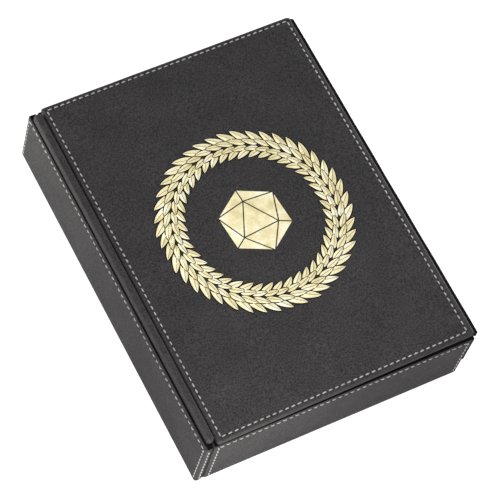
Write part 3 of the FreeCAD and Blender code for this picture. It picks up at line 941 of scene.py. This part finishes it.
def puffed(item, held, pressure, frames, cap):
    """Inflates a closed mesh as cloth with the given points held, and keeps the result."""
    rest = np.array([v.co for v in item.data.vertices])
    pinned = item.vertex_groups.new(name="held")
    pinned.add([int(i) for i in np.nonzero(held)[0]], 1.0, "REPLACE")
    cloth = item.modifiers.new("Cloth", "CLOTH")
    settings = cloth.settings
    settings.use_pressure = True
    settings.uniform_pressure_force = pressure
    settings.effector_weights.gravity = 0.0
    settings.vertex_group_mass = "held"
    settings.mass = 0.12
    settings.tension_stiffness = 12
    settings.compression_stiffness = 12
    settings.bending_stiffness = 0.6
    cloth.point_cache.frame_start = 1
    cloth.point_cache.frame_end = frames
    scene = bpy.context.scene
    for number in range(1, frames + 1):
        scene.frame_set(number)
    graph = bpy.context.evaluated_depsgraph_get()
    shape = item.evaluated_get(graph).to_mesh()
    swollen = np.array([v.co for v in shape.vertices])
    item.evaluated_get(graph).to_mesh_clear()
    item.modifiers.remove(cloth)
    item.vertex_groups.clear()
    step = swollen - rest
    size = np.linalg.norm(step, axis=1, keepdims=True)
    step *= np.minimum(1, cap / np.maximum(size, 1e-9))
    item.data.vertices.foreach_set("co", (rest + step).astype(np.float32).ravel())
    item.data.update()
    scene.frame_set(1)


def make_floor():
    """The padded rolling floor: velvet over foam, drawn down over the board's edge."""
    low, high = BOX["floor_felt"]
    wrap = 0.35 * MM
    low = np.array([low[0] - wrap, low[1] - wrap, BOX["base_board"][0][2] + 0.02 * MM])
    top = high + np.array([wrap, wrap, -0.45 * MM])
    points, _, quads = rounded_slab(low, top, mm(0.8, 0.8, 0.05), mm(0.8, 0.8, 0.8),
                                    mm(3.0, 3.0, 1.2), steps=4)
    pad = build("floor_velvet", points, quads, VELVET)
    rim = np.minimum(points - low, top - points)[:, :2].min(1) < 1.6 * MM
    puffed(pad, rim | (points[:, 2] < top[2] - 0.4 * MM), pressure=4.0, frames=20, cap=0.5 * MM)
    smoother = pad.modifiers.new("Subdivision", "SUBSURF")
    smoother.levels = smoother.render_levels = 1
    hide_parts("floor_felt")
    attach(pad, "base")


def dress_inner_nodes():
    """Materials for the pieces inside the leather."""
    slots = {part["node"]: part["material_slot"] for part in frame["record"]["subparts"]}
    for name, item in frame["nodes"].items():
        if slots[name] in INNER:
            item.data.materials.clear()
            item.data.materials.append(INNER[slots[name]])


# ---------------------------------------------------------------- stage

def make_ground():
    """A plain pale floor that glows a little, so that its far parts stay white."""
    size = 6.0
    floor = build("stage_floor", [(-size, -size, 0), (size, -size, 0), (size, size, 0), (-size, size, 0)],
                  [(0, 1, 2, 3)], smooth=False)
    made, tree, shader = node_tree("stage_white")
    place = add(tree, "ShaderNodeTexCoord")
    faint = noise(tree, place, 3, detail=2)
    tone = ramp(tree, faint, "Fac", [(0.3, (0.66, 0.66, 0.66)), (0.7, (0.69, 0.69, 0.69))])
    link(tree, tone, "Color", shader, "Base Color")
    shader.inputs["Roughness"].default_value = 0.9
    shader.inputs["Emission Color"].default_value = (1.0, 1.0, 1.0, 1.0)
    shader.inputs["Emission Strength"].default_value = 0.42
    floor.data.materials.append(made)


def make_sky():
    """Soft light from all round: brighter from the left and from above."""
    world = bpy.data.worlds.new("studio")
    world.use_nodes = True
    sky = world.node_tree
    direction = add(sky, "ShaderNodeTexCoord")
    split = add(sky, "ShaderNodeSeparateXYZ")
    link(sky, direction, "Generated", split, "Vector")
    shade = add(sky, "ShaderNodeMapRange", interpolation_type="SMOOTHSTEP")
    for entry, level in (("From Min", -0.10), ("From Max", 0.70), ("To Min", 1.14), ("To Max", 0.42)):
        shade.inputs[entry].default_value = level
    link(sky, split, "X", shade, "Value")
    rise = add(sky, "ShaderNodeMapRange")
    for entry, level in (("From Min", 0.0), ("From Max", 0.8), ("To Min", 0.12), ("To Max", 1.30)):
        rise.inputs[entry].default_value = level
    link(sky, split, "Z", rise, "Value")
    strength = add(sky, "ShaderNodeMath", operation="MULTIPLY")
    link(sky, shade, "Result", strength, 0)
    link(sky, rise, "Result", strength, 1)
    link(sky, strength, "Value", sky.nodes["Background"], "Strength")
    sky.nodes["Background"].inputs["Color"].default_value = (1.0, 0.995, 0.99, 1.0)
    bpy.context.scene.world = world


def lamp(name, place, aim, width, power, tint):
    """A square soft light at a place, turned to a point."""
    light = bpy.data.lights.new(name, "AREA")
    light.shape = "SQUARE"
    light.size = width
    light.energy = power
    light.color = tint
    item = bpy.data.objects.new(name, light)
    item.location = place
    item.rotation_mode = "QUATERNION"
    item.rotation_quaternion = (Vector(aim) - Vector(place)).to_track_quat("-Z", "Y")
    item.visible_camera = False
    bpy.context.scene.collection.objects.link(item)


def make_lamps():
    """Low lamps on the left wall's back, the front corner and the lid's free edge, one above the front."""
    lamp("back_left", (-0.28, 0.22, 0.07), (-0.09, 0.12, 0.02), 0.14, 1.05, (1.0, 0.965, 0.945))
    lamp("front_top", (-0.08, -0.23, 0.23), (-0.04, -0.09, 0.05), 0.12, 0.40, (1.0, 0.98, 0.97))
    lamp("front_left", (-0.11, -0.23, 0.05), (-0.075, -0.115, 0.02), 0.06, 0.23, (1.0, 0.97, 0.955))
    lamp("right", (0.40, 0.03, 0.075), (0.08, 0.0, 0.05), 0.10, 2.1, (1.0, 0.98, 0.97))


def make_camera():
    """A long lens above the near left corner, rolled so that the tray leans in the frame."""
    distance = 1.483
    target = Vector((-0.0096, -0.0162, 0.0525))
    azimuth, elevation, roll = math.radians(-45.53), math.radians(61.18), math.radians(20.33)
    camera = bpy.data.objects.new("camera", bpy.data.cameras.new("camera"))
    scene = bpy.context.scene
    scene.collection.objects.link(camera)
    camera.data.lens = 186.34
    camera.data.shift_y = -0.002
    camera.data.sensor_width = 36.0
    camera.data.clip_start, camera.data.clip_end = 0.05, 30.0
    back = Vector((math.sin(azimuth) * math.cos(elevation), -math.cos(azimuth) * math.cos(elevation),
                   math.sin(elevation)))
    camera.location = target + back * distance
    camera.rotation_mode = "QUATERNION"
    spin = Matrix.Rotation(roll, 4, "Z").to_quaternion()
    camera.rotation_quaternion = (-back).to_track_quat("-Z", "Y") @ spin
    scene.camera = camera
    scene.view_settings.view_transform = "Standard"


make_ground()
make_sky()
make_lamps()
make_camera()
make_lid()
make_emblem()
for wall in ("left", "right", "front", "back"):
    make_wall(wall)
    make_fold(wall)
make_spine()
make_band()
make_crease_shade()
make_base()
make_floor()
dress_inner_nodes()
